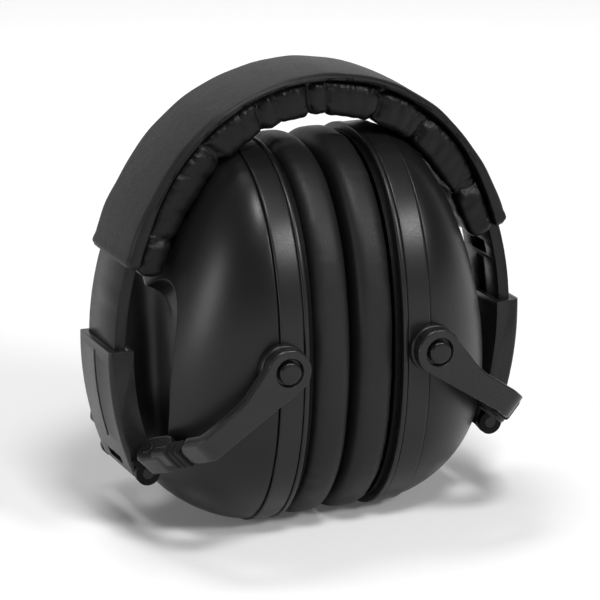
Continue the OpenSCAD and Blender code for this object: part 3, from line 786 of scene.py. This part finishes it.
def stationOf(place):  # how far along the band a place in metres is
    x, z = abs(place.x) / mm, place.z / mm
    crownAngle = math.atan2(z - band["armZ"] - band["crownUp"], x)
    if crownAngle > joinAngle:
        length = crownRadius * (math.pi / 2 - crownAngle)
    else:
        armAngle = math.atan2(z - band["armZ"], x + band["armX"])
        length = crownHalf + band["armRadius"] * (joinAngle - armAngle)
    return math.copysign(length, place.x)


pad = {
    "rows": 480, "columns": 84, "simRows": 150, "simColumns": 36, "pressure": 4.0, "spare": 0.0,
    "hill": 0.5, "crease": 1.0, "creaseWidth": 0.75, "gather": 0.13, "roll": 2.0,
    "extraFolds": (-66, -39, -13, 33, 60), "squareSide": 5.0, "squareDown": 4.0, "inset": 1.0,
}
padEnd = bandLength(band["padEnd"])


def padSection(station, v):
    # a rounded box section under the band, from the cover's seam down to the pad's depth, which
    # swells towards the crown; its lower corners hang a little lower than its middle
    toEnd = (padEnd - np.abs(station))[:, None]
    swell = np.cos(station / padEnd * math.pi / 2)[:, None] ** 0.8
    depth = band["padEndDepth"] + (band["padDepth"] - band["padEndDepth"]) * swell
    closing = np.sqrt(np.clip(1 - (1 - np.clip(toEnd / 3.4, 0, 1)) ** 2, 0.02, 1))
    across = power(np.cos(v), pad["squareSide"])
    down = power(np.sin(v), pad["squareDown"])
    half = halfAt(station) - pad["inset"]
    top = seamOut(station)[:, None] - 0.2
    under = blendStep(-down, 0.2, 1.0)
    outwards = (top - depth) / 2 + (top + depth) / 2 * down * closing - pad["roll"] * under * np.abs(across) ** 3
    return outwards, half * across * (0.8 + 0.2 * closing), down, across


# the folds seen in the photograph are placed on the pad's plain shape
plainStation = np.linspace(-padEnd, padEnd, 160)
plainOut, plainSide, _, _ = padSection(plainStation, np.linspace(0, 2 * math.pi, 40, endpoint=False)[None, :])
plainPad = capped("plainPad", alongBand(plainStation, plainOut, plainSide))
carrier = treeOf(plainPad, cover)
bpy.data.objects.remove(plainPad)
padFolds = sorted(stationOf(placeOn(carrier, *imagePoints[k])) for k in imagePoints if k.startswith("padFold"))
foldPlaces = np.array([-padEnd - 5, *sorted([*padFolds, *pad["extraFolds"]]), padEnd + 5])
print("pad folds at", [round(f, 1) for f in padFolds])


def padSkin():
    station = np.linspace(-padEnd, padEnd, pad["rows"])
    v = np.linspace(0, 2 * math.pi, pad["columns"], endpoint=False)[None, :]
    outwards, sideways, down, across = padSection(station, v)
    points = alongBand(station, outwards, sideways)
    # cloth held at the seam and, more loosely, in each fold
    coarse = np.linspace(-padEnd, padEnd, pad["simRows"])
    coarseV = np.linspace(0, 2 * math.pi, pad["simColumns"], endpoint=False)[None, :]
    coarseOut, coarseSide, coarseDown, _ = padSection(coarse, coarseV)
    nearFold = np.abs(coarse[:, None] - foldPlaces[None, :]).min(1)[:, None] < 0.9
    atEnd = (padEnd - np.abs(coarse))[:, None] < 2
    held = np.where((coarseDown > 0.75) | atEnd, 1.0, np.where(nearFold, 0.6, 0.0))
    start = alongBand(coarse, coarseOut, coarseSide)
    caps = ((0, start[0].mean(0)), (-1, start[-1].mean(0)))
    move = inflated("padCloth", start, held, pad["pressure"], pad["spare"], False, caps)
    points = points + resampled(move, pad["rows"], pad["columns"], False)
    # hills between folds, hill * sin(pi * t)^0.6, a sharp crease in each fold, and fine gathers
    rng = np.random.default_rng(4)
    extra = np.isin(foldPlaces, pad["extraFolds"])
    strengths = np.where(extra, 0.5, rng.uniform(0.9, 1.25, len(foldPlaces)))
    leans = rng.uniform(-1.1, 1.1, len(foldPlaces))
    shifted = station[:, None] - 0.5 * waves(down * 9 + station[:, None] * 0.2, 12, 12, 6, 2)
    which = np.clip(np.searchsorted(foldPlaces, shifted) - 1, 0, len(foldPlaces) - 2)
    t = np.clip((shifted - foldPlaces[which]) / (foldPlaces[which + 1] - foldPlaces[which]), 0, 1)
    span = np.minimum((foldPlaces[which + 1] - foldPlaces[which]) / 13, 1.15)
    hills = pad["hill"] * span * np.sin(math.pi * t) ** 0.6
    creases = np.zeros_like(hills)
    for fold, strength, lean in zip(foldPlaces[1:-1], strengths[1:-1], leans[1:-1]):
        offset = shifted - fold - lean * (1 - down)
        creases += strength * (0.75 * np.exp(-np.abs(offset) / pad["creaseWidth"])
                               + 0.25 * np.exp(-((offset / 2.2) ** 2)))
    gathers = pad["gather"] * (waves(station, 8, 6, 2.4, 7)[:, None] * blendStep(down, 0.0, 0.9)
                               + 1.2 * waves(station[:, None] + 2 * down, 9, 15, 5, 5))
    swell = (hills - 0.7 - pad["crease"] * creases + gathers) * (1 - blendStep(down, 0.7, 1.0))
    toEnd = (padEnd - np.abs(station))[:, None]
    swell = swell * np.clip(toEnd / 3, 0, 1)
    _, out = bandFrame(station)
    face = blendStep(np.abs(across), 0.3, 0.95) * np.sign(across)
    points[..., 1] += swell * face
    points -= out[:, None, :] * (swell * blendStep(-down, 0.1, 0.95) * 0.8)[..., None]
    return station, points


padStation, padPoints = padSkin()
bandPad = capped("bandPad", padPoints)
dress(bandPad, "headband", "pad_leather", finishes["pad"], "band_pad")


# seam cord between cover and pad

seam = {"radius": 0.32, "columns": 10, "stitch": 2.6, "out": -0.12, "side": -0.35}


def seamSkin(way):
    # a thin cord along the cover's edge, pinched by each stitch
    end = coverEnd - 1.0
    station = np.linspace(-end, end, 720)
    half = halfAt(station) + seam["side"]
    turn = np.linspace(0, 2 * math.pi, seam["columns"], endpoint=False)[None, :]
    pinch = 1 - 0.3 * np.cos(2 * math.pi * station / seam["stitch"])[:, None] ** 6
    outwards = seamOut(station)[:, None] + seam["out"] + seam["radius"] * pinch * np.cos(turn)
    sideways = way * (half + seam["radius"] * pinch * np.sin(turn))
    return alongBand(station, outwards, sideways)


piping = joined("bandSeam", [capped("bandSeam" + str(way), seamSkin(way)) for way in (-1, 1)])
dress(piping, "headband", "cover_leather", finishes["cover"])
print("band cover, pad and seam")


# rigid fittings: CAD shapes with softened edges

edges = {
    "band_strip": ("headband", "strip_plastic", "strip", 0.3),
    "slider": ("slide_body", "slider_plastic", "slider", 0.38),
    "front_knuckle": ("yoke", "knuckle_plastic", "knuckle", 0.35),
    "back_knuckle": ("yoke", "knuckle_plastic", "knuckle", 0.35),
}


def softened(node, name, width):
    # a merged copy of the CAD node, its flat faces joined up, with every sharp edge rounded
    shape = bmesh.new()
    shape.from_mesh(nodes[node].data)
    bmesh.ops.remove_doubles(shape, verts=shape.verts, dist=0.00001)
    bmesh.ops.dissolve_limit(shape, angle_limit=math.radians(0.8), verts=shape.verts, edges=shape.edges)
    piece = written(shape, name)
    rounding = piece.modifiers.new("edges", "BEVEL")
    rounding.width = width * mm
    rounding.segments = 2
    rounding.limit_method = "ANGLE"
    rounding.angle_limit = math.radians(28)
    rounding.harden_normals = True
    return piece


for kind, (body, slotName, finish, width) in edges.items():
    if kind == "band_strip":
        dress(softened(kind, "bandStrip", width), body, slotName, finishes[finish], kind)
        continue
    for side, sign in sides:
        words = kind.split("_")
        name, node = side + "".join(w.capitalize() for w in words), side + "_" + kind
        dress(softened(node, name, width), side + "_" + body, slotName, finishes[finish], node)
print("rigid fittings")


# yoke arms

# the yoke's own axes: s down the arm from the cup's pivot, y across the earmuff, m square to both
yoke = {
    "pivot": (22.1, 54.0), "slope": 40.6, "faceY": 41.5, "halfThick": 1.7, "eye": 6.4, "eyeTurn": 30.0,
    "taperS": 14.6, "taperM": 3.1, "low": -2.95, "high": 4.35, "bendS": 26.5, "bendRadius": 4.4, "bend": 60.0,
    "end": 5.9, "edge": 0.5, "endCorner": 2.2, "recess": 3.8, "recessDepth": 1.4,
    "hubS": 39.81, "hubY": 18.55, "hubRadius": 4.2, "hubHalf": 4.2, "hubLength": 8.4, "hubLow": -4.4,
    "hubHigh": 1.9, "hubCorner": 3.4, "hubEdge": 0.6, "linkLength": 22.71, "linkHalf": 2.7, "linkThick": 1.7,
}
slope, bendAngle = math.radians(yoke["slope"]), math.radians(yoke["bend"])
downArm = np.array([math.cos(slope), 0, -math.sin(slope)])
squareUp = np.array([math.sin(slope), 0, math.cos(slope)])
pivotPlace = np.array([yoke["pivot"][0], 0, yoke["pivot"][1]])


def yokePlace(s, y, m):
    s, y, m = np.broadcast_arrays(s, y, m)
    return pivotPlace + s[..., None] * downArm + m[..., None] * squareUp + y[..., None] * np.array([0, 1.0, 0])


def armPath(length):
    # straight along the cup, an arc round the bend, then straight in to the hub: s, y and the turn
    turn = np.clip((length - yoke["bendS"]) / yoke["bendRadius"], 0, bendAngle)
    s = np.minimum(length, yoke["bendS"]) + yoke["bendRadius"] * np.sin(turn)
    y = -yoke["faceY"] + yoke["bendRadius"] * (1 - np.cos(turn))
    past = np.maximum(length - yoke["bendS"] - yoke["bendRadius"] * bendAngle, 0)
    return s + past * math.cos(bendAngle), y + past * math.sin(bendAngle), turn


def onArm(length, m, thick):  # thick is measured outwards from the arm's middle surface
    s, y, turn = armPath(length)
    return yokePlace(s + thick * np.sin(turn), y - thick * np.cos(turn), m)


def armOutline():
    # the eye's circle, a straight lower edge and a flared upper edge with one hollow corner, and a
    # rounded end: for each place along the arm its upper and lower edge
    r = yoke["eye"]
    end = yoke["bendS"] + yoke["bendRadius"] * bendAngle + yoke["end"]
    lobe = -r * np.cos(np.linspace(0.02, math.pi / 2, 22))
    tail = end - yoke["endCorner"] * (1 - np.sin(np.linspace(0, math.pi / 2, 9)))
    length = np.r_[lobe, np.linspace(0.3, tail[0] - 0.3, 130), tail]
    circle = np.sqrt(np.clip(r * r - length * length, 0, None))
    eyeS, eyeM = r * math.sin(math.radians(yoke["eyeTurn"])), r * math.cos(math.radians(yoke["eyeTurn"]))
    upper = np.interp(length, [eyeS, yoke["taperS"], yoke["bendS"], end],
                      [eyeM, yoke["taperM"], yoke["high"], yoke["high"]])
    upper = np.where(length < eyeS, circle, upper)
    hollow = np.abs(length - yoke["taperS"])
    upper += 0.35 * np.clip(1 - hollow / 2.2, 0, 1) ** 2
    lower = np.interp(length, [0, yoke["bendS"], end], [-r, yoke["low"], yoke["low"]])
    lower = np.where(length < 0, -circle, lower)
    near = np.clip(1 - (end - length) / yoke["endCorner"], 0, 1)
    inset = yoke["endCorner"] * (1 - np.sqrt(1 - near ** 2))
    return length, upper - inset, lower + inset


def edgeNormal(length, edge, way):  # square to an edge line in the arm's surface, pointing outwards
    along, rise = np.gradient(length), np.gradient(edge)
    size = np.hypot(along, rise)
    return -way * rise / size, way * along / size


def armSkin():
    # each section is a flat bar with eased edges: k steps in from the edge as thick rounds over
    length, upper, lower = armOutline()
    upL, upM = edgeNormal(length, upper, 1)
    lowL, lowM = edgeNormal(length, lower, -1)
    e, thick = yoke["edge"], yoke["halfThick"]
    ease = np.linspace(0, math.pi / 2, 4)
    inset, rise = 1 - np.cos(ease), thick - e + e * np.sin(ease)
    across = np.r_[0.03, np.linspace(0, 1, 9)[1:-1], 0.97]
    middle = np.ones(len(across))
    share = np.r_[np.zeros(4), across, np.ones(8), across[::-1], np.zeros(4)][None, :]
    step = np.r_[inset, middle, inset[::-1], inset, middle, inset[::-1]][None, :] * e
    height = np.r_[rise, middle * thick, rise[::-1], -rise, -middle * thick, -rise[::-1]][None, :]
    place = (1 - share) * (length[:, None] - step * upL[:, None]) + share * (length[:, None] - step * lowL[:, None])
    m = (1 - share) * (upper[:, None] - step * upM[:, None]) + share * (lower[:, None] - step * lowM[:, None])
    return onArm(place, m, height + 0 * place)


def barSkin(start, end, halfThick, halfWide, corner):
    # a plain bar along the arm's path between two lengths, its section squared by corner
    length = np.linspace(start, end, 12)[:, None]
    turn = np.linspace(0, 2 * math.pi, 40, endpoint=False)[None, :]
    wide, thick = halfWide * power(np.sin(turn), corner), halfThick * power(np.cos(turn), corner)
    return onArm(length + 0 * turn, wide, thick + 0 * length)


def raised(outline, normal, low, high, edge):
    # an outline in s and y carried up along m, its top and bottom edges eased inwards
    ease = np.linspace(0, math.pi / 2, 9)
    inset = np.r_[1.2, 1 - np.sin(ease), 0, 0, 1 - np.cos(ease), 1.2][:, None, None] * edge
    m = np.r_[low, low + edge * (1 - np.cos(ease)), low + edge + 0.3,
              high - edge - 0.3, high - edge + edge * np.sin(ease), high][:, None]
    flat = outline[None] - inset * normal[None]
    return yokePlace(flat[..., 0], flat[..., 1], m + 0 * flat[..., 0])


def hubOutline():
    # a half circle round the hub's pin, two straight sides along the link and two rounded corners,
    # with the way outwards at each point
    turn = np.linspace(bendAngle - math.pi / 2, bendAngle + math.pi / 2, 33)
    rimNormal = np.stack([np.cos(turn), np.sin(turn)], -1)
    link = -np.array([math.cos(bendAngle), math.sin(bendAngle)])
    beside = np.array([-link[1], link[0]])
    r, swing = yoke["hubCorner"], np.linspace(0, math.pi / 2, 12)[:, None]
    outline, normals = [yoke["hubRadius"] * rimNormal], [rimNormal]
    for way, sweep in ((1, swing), (-1, swing[::-1])):
        normal = np.sin(sweep) * link - way * np.cos(sweep) * beside
        middle = link * (yoke["hubLength"] - r) - way * beside * (yoke["hubHalf"] - r)
        outline.append(middle + r * normal)
        normals.append(normal)
    return np.vstack(outline) + [yoke["hubS"], -yoke["hubY"]], np.vstack(normals)


def studSkin(profile, s, y):  # (m, radius) carried round an axis along m
    turn = np.linspace(0, 2 * math.pi, 40, endpoint=False)[None, :]
    m, radius = profile[:, 0][:, None], profile[:, 1][:, None]
    return yokePlace(s + radius * np.cos(turn), y + radius * np.sin(turn), m + 0 * turn)


def recessCutter():
    r, face, deep = yoke["recess"], yoke["faceY"] + yoke["halfThick"], yoke["recessDepth"]
    profile = np.array([(-face - 1, r + 1.3), (-face + 0.05, r + 0.25), (-face + 0.3, r), (-face + deep, r)])
    return capped("recessCutter", turned(profile, yoke["pivot"], 64))


def cutBy(piece, cutter):  # the boolean difference, worked out once and kept as the piece's own mesh
    cut = piece.modifiers.new("recess", "BOOLEAN")
    cut.operation = "DIFFERENCE"
    cut.solver = "EXACT"
    cut.object = cutter
    depsgraph = bpy.context.evaluated_depsgraph_get()
    mesh = bpy.data.meshes.new_from_object(piece.evaluated_get(depsgraph))
    piece.modifiers.clear()
    piece.data = mesh
    bpy.data.objects.remove(cutter)
    mesh.shade_smooth()
    mesh.set_sharp_from_angle(angle=math.radians(38))
    return piece


collar = {"from": 6.6, "length": 6.6, "halfThick": 2.35, "halfWide": 3.45, "ribs": 3, "ribDepth": 0.3}


def collarSkin():
    # a rounded rectangle carried along the arm's inner link, its size waving with each rib
    start = yoke["bendS"] + yoke["bendRadius"] * bendAngle + collar["from"]
    length = np.r_[0, np.linspace(0.02, 0.98, 84), 1] * collar["length"]
    rib = -collar["ribDepth"] * np.abs(np.sin(math.pi * collar["ribs"] * length / collar["length"])) ** 0.6
    ends = 0.3 * ((length < 1e-6) | (length > collar["length"] - 1e-6))
    shrink = (ends + collar["ribDepth"] + rib)[:, None]
    turn = np.linspace(0, 2 * math.pi, 56, endpoint=False)[None, :]
    thick = (collar["halfThick"] - shrink) * power(np.cos(turn), 7)
    wide = (collar["halfWide"] - shrink) * power(np.sin(turn), 7)
    return onArm((start + length)[:, None] + 0 * turn, wide, thick)


def pinProfile():  # the pivot pin: a shank and a low domed head with an eased rim
    face = yoke["faceY"] + yoke["halfThick"]
    return np.array([(-36.6, 2.0), (-face + 1.3, 2.0), (-face + 1.28, 2.9), (-face + 1.1, 3.1), (-face - 0.1, 3.12),
                     (-face - 0.42, 3.1), (-face - 0.62, 3.0), (-face - 0.76, 2.82), (-face - 0.84, 2.55),
                     (-face - 0.9, 2.0), (-face - 0.95, 1.2), (-face - 0.97, 0.5), (-face - 0.98, 0.2)])


def rivetProfile():  # the hub's rivet: a small head with a dimple
    top = yoke["hubHigh"]
    return np.array([(yoke["hubLow"] - 0.2, 1.3), (top - 0.1, 1.4), (top + 0.02, 1.75), (top + 0.2, 1.7),
                     (top + 0.28, 1.5), (top + 0.25, 0.9), (top + 0.1, 0.6), (top + 0.08, 0.2)])


outline, normal = hubOutline()
bendEnd = yoke["bendS"] + yoke["bendRadius"] * bendAngle
hubTop, hubPlace = yoke["hubHigh"], (yoke["hubS"], -yoke["hubY"])
linkSkin = barSkin(bendEnd + 4.5, bendEnd + yoke["linkLength"] - 4, yoke["linkThick"], yoke["linkHalf"], 6)
for side, sign in sides:
    for word in ("Front", "Back"):
        flip = np.array([sign, 1 if word == "Front" else -1, 1])
        arm = capped(side + word + "ArmBlank", armSkin() * flip)
        cutter = recessCutter()
        cutter.data.transform(Matrix.Diagonal((*map(float, flip), 1)))
        if sign * flip[1] < 0:
            cutter.data.flip_normals()
        arm = cutBy(arm, cutter)
        link = capped("link", linkSkin * flip)
        hub = capped("hub", raised(outline, normal, yoke["hubLow"], hubTop, yoke["hubEdge"]) * flip)
        whole = joined(side + word + "Arm", [arm, link, hub])
        whole.data.set_sharp_from_angle(angle=math.radians(38))
        dress(whole, side + "_yoke", "arm_paint", finishes["arm"], side + "_" + word.lower() + "_arm")
        ribbed = capped(side + word + "Collar", collarSkin() * flip)
        dress(ribbed, side + "_yoke", "collar_rubber", finishes["collar"], side + "_" + word.lower() + "_collar")
    flips = [np.array([sign, way, 1]) for way in (1, -1)]
    pins = joined(side + "PivotPins", [capped("pin", turned(pinProfile(), yoke["pivot"], 64) * flip) for flip in flips])
    dress(pins, side + "_cup", "pin_paint", finishes["pin"], side + "_pivot_pins")
    rivets = joined(side + "ArmRivets", [capped("rivet", studSkin(rivetProfile(), *hubPlace) * flip) for flip in flips])
    dress(rivets, side + "_yoke", "pin_paint", finishes["pin"], side + "_arm_rivets")
print("arms, collars, pins and rivets")


# CAD nodes that stay as they are

kept = {"stop_rivets": "steel", "fold_pin": "pin", "detent_spring": "steel", "plate": "plate"}
for kind, finish in kept.items():
    for name in ((kind,) if kind in nodes else ("left_" + kind, "right_" + kind)):
        nodes[name].data.materials.clear()
        nodes[name].data.materials.append(finishes[finish])


# floor, backdrop and light

studio = {
    "floorSize": 6.0, "floorColour": 0.8, "floorGlow": (0.06, 0.4), "glowReach": (0.1, 0.55),
    "worldLight": 0.08, "white": 1.0, "backdrop": (0.0, 1.0, 0.05, 0.85),
}


def makeFloor():
    half = studio["floorSize"] / 2
    mesh = bpy.data.meshes.new("floor")
    mesh.from_pydata([(-half, -half, 0), (half, -half, 0), (half, half, 0), (-half, half, 0)], [], [(0, 1, 2, 3)])
    floor = placed("floor", mesh)
    finish, tree, shader, place = newFinish("paleFloor")
    shader.inputs["Roughness"].default_value = 0.9
    shader.inputs["Specular IOR Level"].default_value = 0.1
    shader.inputs["Base Color"].default_value = (studio["floorColour"],) * 3 + (1,)
    # a little glow for the camera and for reflections alone lifts the lit floor to white
    seen = tree.nodes.new("ShaderNodeLightPath")
    either = combined(tree, "MAXIMUM", seen.outputs["Is Camera Ray"], seen.outputs["Is Glossy Ray"])
    distance = tree.nodes.new("ShaderNodeVectorMath")
    distance.operation = "LENGTH"
    tree.links.new(place, distance.inputs[0])
    strength = ranged(tree, distance.outputs["Value"], *studio["floorGlow"], *studio["glowReach"])
    shader.inputs["Emission Color"].default_value = (1, 1, 1, 1)
    tree.links.new(combined(tree, "MULTIPLY", either, strength), shader.inputs["Emission Strength"])
    mesh.materials.append(finish)
    floor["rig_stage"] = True


def makeWorld():
    # white to the camera and through glass; in reflections the white backdrop stands behind the
    # object and to its sides, and fades to the dim studio behind the camera
    world = bpy.data.worlds.new("studioAir")
    bpy.context.scene.world = world
    world.use_nodes = True
    tree = world.node_tree
    air = tree.nodes["Background"]
    seen = tree.nodes.new("ShaderNodeLightPath")
    clear = combined(tree, "MAXIMUM", seen.outputs["Is Camera Ray"], seen.outputs["Is Transmission Ray"])
    towards = tree.nodes.new("ShaderNodeTexCoord")
    parts = tree.nodes.new("ShaderNodeSeparateXYZ")
    tree.links.new(towards.outputs["Generated"], parts.inputs[0])
    backdrop = ranged(tree, parts.outputs["Y"], *studio["backdrop"])
    mirrored = combined(tree, "MULTIPLY", seen.outputs["Is Glossy Ray"], backdrop)
    level = ranged(tree, combined(tree, "MAXIMUM", clear, mirrored), studio["worldLight"], studio["white"])
    air.inputs["Color"].default_value = (1, 1, 1, 1)
    tree.links.new(level, air.inputs["Strength"])


lamps = {  # place and aim in metres, size in metres, watts
    "keySoftbox": {"place": (-0.05, -0.66, 1.12), "aim": (0, 0, 0.08), "size": (0.3, 0.25), "watts": 10},
    "frontSoftbox": {"place": (0.54, -0.98, 0.70), "aim": (0, 0, 0.08), "size": (0.25, 0.25), "watts": 8},
    "leftSoftbox": {"place": (-1.14, -0.22, 0.20), "aim": (0, 0, 0.07), "size": (0.3, 0.5), "watts": 4.5},
    "topSoftbox": {"place": (-0.1, 0.35, 1.15), "aim": (0, 0, 0.06), "size": (0.5, 0.4), "watts": 6},
}


def makeLamps():
    for name, lamp in lamps.items():
        light = bpy.data.lights.new(name, "AREA")
        light.shape = "RECTANGLE"
        light.size, light.size_y = lamp["size"]
        light.energy = lamp["watts"]
        holder = placed(name, light)
        place = Vector(lamp["place"])
        aim = Vector(lamp["aim"]) - place
        holder.matrix_world = Matrix.Translation(place) @ aim.to_track_quat("-Z", "Y").to_matrix().to_4x4()


makeFloor()
makeWorld()
makeLamps()
bpy.context.scene.view_settings.view_transform = "Standard"
print("stage and light")


# measures: how far the render's outline and marks fall from the image points, worked out and not kept

def evaluatedCorners(piece):
    depsgraph = bpy.context.evaluated_depsgraph_get()
    shape = piece.evaluated_get(depsgraph)
    mesh = shape.to_mesh()
    corners = np.zeros(len(mesh.vertices) * 3)
    mesh.vertices.foreach_get("co", corners)
    shape.to_mesh_clear()
    return corners.reshape(-1, 3)


def writePoints():
    bpy.context.view_layer.update()
    shown = [o for o in bpy.data.objects if o.type == "MESH" and not o.hide_render and not o.get("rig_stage")]
    corners = np.vstack([evaluatedCorners(o) for o in shown])
    flat = imageXY(corners)
    edgesSeen = {"objectLeft": flat[:, 0].min(), "objectRight": flat[:, 0].max(),
                 "objectTop": flat[:, 1].min(), "objectBottom": flat[:, 1].max()}
    result = {k: round(float(v - imagePoints[k]), 2) for k, v in edgesSeen.items()}
    marks = {
        "leftPin": (-cup["seam"], -boss["to"] - 2.5, cup["middle"]),
        "rightPin": (cup["seam"], -boss["to"] - 2.5, cup["middle"]),
        "coverEndLeft": bandPlace(-coverEnd, -0.3, -band["halfWide"]),
        "leftHubPin": yokePlace(*hubPlace, hubTop + 0.2) * [-1, 1, 1],
    }
    for name, place in marks.items():
        x, y = imageXY(np.array([place]) * mm)[0]
        result[name] = [round(float(x - imagePoints[name][0]), 2), round(float(y - imagePoints[name][1]), 2)]
    for i, fold in enumerate(padFolds):
        name = "padFold" + str(i + 1)
        best = imageXY(padPoints[np.abs(padStation - fold).argmin()] * mm)
        x, y = imagePoints[name]
        gap = best[np.hypot(best[:, 0] - x, best[:, 1] - y).argmin()] - (x, y)
        result[name] = [round(float(gap[0]), 2), round(float(gap[1]), 2)]


writePoints()
